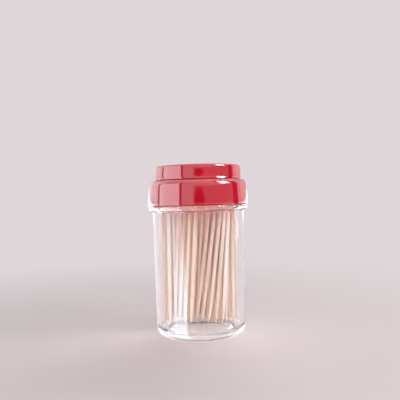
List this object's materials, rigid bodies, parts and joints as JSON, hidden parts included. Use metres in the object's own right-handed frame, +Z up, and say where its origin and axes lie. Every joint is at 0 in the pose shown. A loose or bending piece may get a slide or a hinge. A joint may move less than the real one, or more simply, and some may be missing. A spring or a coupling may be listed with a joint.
{
  "type": "toothpick dispenser",
  "caption": "Clear round jar of wooden toothpicks with a push-on red lid, whose top turns to line up an outlet hole and let picks slide out.",
  "frame": {"origin": "on the jar's axis, at the surface that the jar stands on", "axes": "+Z up the jar's axis towards the lid, -Y the front, where the outlet holes of the turret and of the turning top are in line at rest"},
  "size_m": [0.0558, 0.0558, 0.0934],
  "materials": {
    "clear_styrene": "clear, glossy, injection moulded",
    "cap_red": "opaque red, high gloss, injection moulded",
    "dial_red": "opaque red, high gloss, injection moulded",
    "birch": "bare turned birch, fine grain along the pick"
  },
  "bodies": {
    "jar": {"jar": "clear_styrene"},
    "cap": {"cap": "cap_red"},
    "dial": {"dial": "dial_red"},
    "toothpicks": {"toothpick_01": "birch", "toothpick_02": "birch", "toothpick_03": "birch", "toothpick_04": "birch", "toothpick_05": "birch", "toothpick_06": "birch", "toothpick_07": "birch", "toothpick_08": "birch", "toothpick_09": "birch", "toothpick_10": "birch", "toothpick_11": "birch", "toothpick_12": "birch", "toothpick_13": "birch", "toothpick_14": "birch", "toothpick_15": "birch", "toothpick_16": "birch", "toothpick_17": "birch", "toothpick_18": "birch", "toothpick_19": "birch", "toothpick_20": "birch", "toothpick_21": "birch", "toothpick_22": "birch", "toothpick_23": "birch", "toothpick_24": "birch", "toothpick_25": "birch", "toothpick_26": "birch", "toothpick_27": "birch", "toothpick_28": "birch", "toothpick_29": "birch", "toothpick_30": "birch", "toothpick_31": "birch", "toothpick_32": "birch", "toothpick_33": "birch", "toothpick_34": "birch", "toothpick_35": "birch", "toothpick_36": "birch", "toothpick_37": "birch", "toothpick_38": "birch", "toothpick_39": "birch", "toothpick_40": "birch", "toothpick_41": "birch", "toothpick_42": "birch", "toothpick_43": "birch", "toothpick_44": "birch", "toothpick_45": "birch", "toothpick_46": "birch", "toothpick_47": "birch", "toothpick_48": "birch", "toothpick_49": "birch", "toothpick_50": "birch", "toothpick_51": "birch", "toothpick_52": "birch", "toothpick_53": "birch", "toothpick_54": "birch", "toothpick_55": "birch", "toothpick_56": "birch", "toothpick_57": "birch"}
  },
  "joints": [
    {"name": "cap_lift", "type": "slide", "parent": "jar", "child": "cap", "axis": [0, 0, 1], "range_m": [0, 0.0145]},
    {"name": "dial_turn", "type": "hinge", "parent": "cap", "child": "dial", "pos_m": [0, 0, 0.092], "axis": [0, 0, 1], "range_deg": [0, 90]},
    {"name": "toothpicks_slide", "type": "slide", "parent": "jar", "child": "toothpicks", "axis": [0, 0, 1], "range_m": [0, 0.017]}
  ]
}
